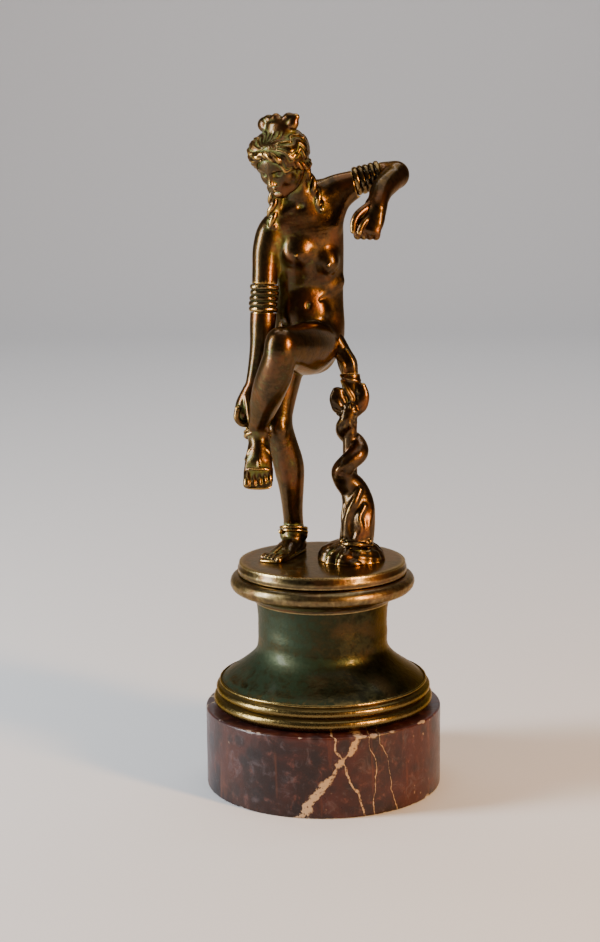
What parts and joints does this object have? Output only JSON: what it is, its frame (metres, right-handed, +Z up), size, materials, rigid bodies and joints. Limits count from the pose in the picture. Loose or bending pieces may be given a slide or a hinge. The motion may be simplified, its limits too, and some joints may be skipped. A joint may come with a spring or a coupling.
{
  "type": "bronze statuette",
  "caption": "Standing classical nude in dark bronze adjusting a sandal, leaning on a dolphin support, on a turned socle and a round red marble base.",
  "frame": {"origin": "centre of the marble base's underside, on the surface that the statuette stands on", "axes": "+Z up along the turned socle's axis; the figure faces -Y; +X is towards the figure's own left"},
  "size_m": [0.08, 0.08, 0.2261],
  "materials": {
    "figure_bronze": "dark brown patina with green in the hollows and rubbed golden edges, waxed",
    "dark_bronze": "turned, dark brown patina, waxed",
    "green_bronze": "green patina over brown, satin",
    "dowel_brass": "plain drawn brass",
    "red_marble": "opaque polished red marble with cream veins and worn edges",
    "fastener_steel": "plain steel"
  },
  "bodies": {
    "root": {"marble_base": "red_marble", "socle_foot": "dark_bronze", "socle_waist": "green_bronze", "socle_torus": "dark_bronze", "socle_top_disc": "dark_bronze", "tie_rod": "fastener_steel", "tie_rod_washer": "fastener_steel", "tie_rod_nut": "fastener_steel", "figure_body": "figure_bronze", "right_forearm": "figure_bronze", "left_forearm": "figure_bronze", "right_armlet": "figure_bronze", "left_armlet": "figure_bronze", "right_arm_dowel": "dowel_brass", "left_arm_dowel": "dowel_brass", "support_dolphin": "figure_bronze", "support_stem": "figure_bronze", "support_dowel": "dowel_brass", "hip_dowel": "dowel_brass", "foot_stud": "fastener_steel", "foot_nut": "fastener_steel", "support_stud": "fastener_steel", "support_nut": "fastener_steel"}
  },
  "joints": []
}
